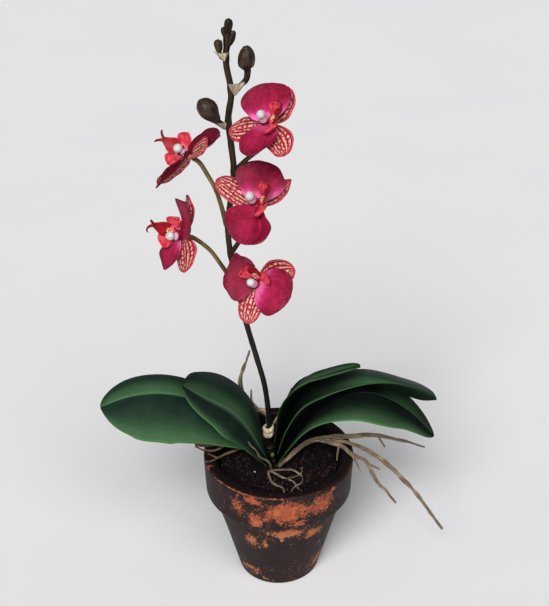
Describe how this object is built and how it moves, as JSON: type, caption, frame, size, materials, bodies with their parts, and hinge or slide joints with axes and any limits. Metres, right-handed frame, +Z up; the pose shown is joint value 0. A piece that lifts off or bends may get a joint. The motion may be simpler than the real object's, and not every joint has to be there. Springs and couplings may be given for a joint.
{
  "type": "potted miniature moth orchid",
  "caption": "Miniature moth orchid with strap leaves, aerial roots and an upright spike of magenta blooms, growing in a small terracotta pot that stands on its base.",
  "frame": {"origin": "where the pot's axis meets the surface that the pot stands on, which is also the middle of the bottom of the whole plant's box", "axes": "+Z up along the pot's axis, +X to the right and -Y toward the viewer, so that the blooms face -Y"},
  "size_m": [0.1842, 0.08, 0.3089],
  "materials": {
    "terracotta": "matte",
    "potting_soil": "matte",
    "leaf": "satin",
    "stem": "satin",
    "bud": "satin",
    "bract": "matte",
    "sepal": "matte",
    "petal": "satin",
    "lip": "satin",
    "column": "satin",
    "anther_cap": "matte",
    "root": "matte"
  },
  "bodies": {
    "root": {"pot": "terracotta", "soil": "potting_soil", "crown": "stem", "leaf_left_long": "leaf", "leaf_left_short": "leaf", "leaf_right_front": "leaf", "leaf_right_long": "leaf", "leaf_right_back": "leaf", "flower_spike": "stem", "basal_sheath": "bract", "bud_large": "bud", "bud_right": "bud", "bud_small": "bud", "bract_low": "bract", "bract_middle": "bract", "bract_high": "bract", "bloom_top_sepals": "sepal", "bloom_top_petals": "petal", "bloom_top_lip": "lip", "bloom_top_column": "column", "bloom_top_cap": "anther_cap", "bloom_middle_sepals": "sepal", "bloom_middle_petals": "petal", "bloom_middle_lip": "lip", "bloom_middle_column": "column", "bloom_middle_cap": "anther_cap", "bloom_low_sepals": "sepal", "bloom_low_petals": "petal", "bloom_low_lip": "lip", "bloom_low_column": "column", "bloom_low_cap": "anther_cap", "bloom_left_top_sepals": "sepal", "bloom_left_top_petals": "petal", "bloom_left_top_lip": "lip", "bloom_left_top_column": "column", "bloom_left_top_cap": "anther_cap", "bloom_left_low_sepals": "sepal", "bloom_left_low_petals": "petal", "bloom_left_low_lip": "lip", "bloom_left_low_column": "column", "bloom_left_low_cap": "anther_cap", "roots_right": "root", "roots_front": "root", "roots_left": "root", "roots_back": "root"}
  },
  "joints": []
}
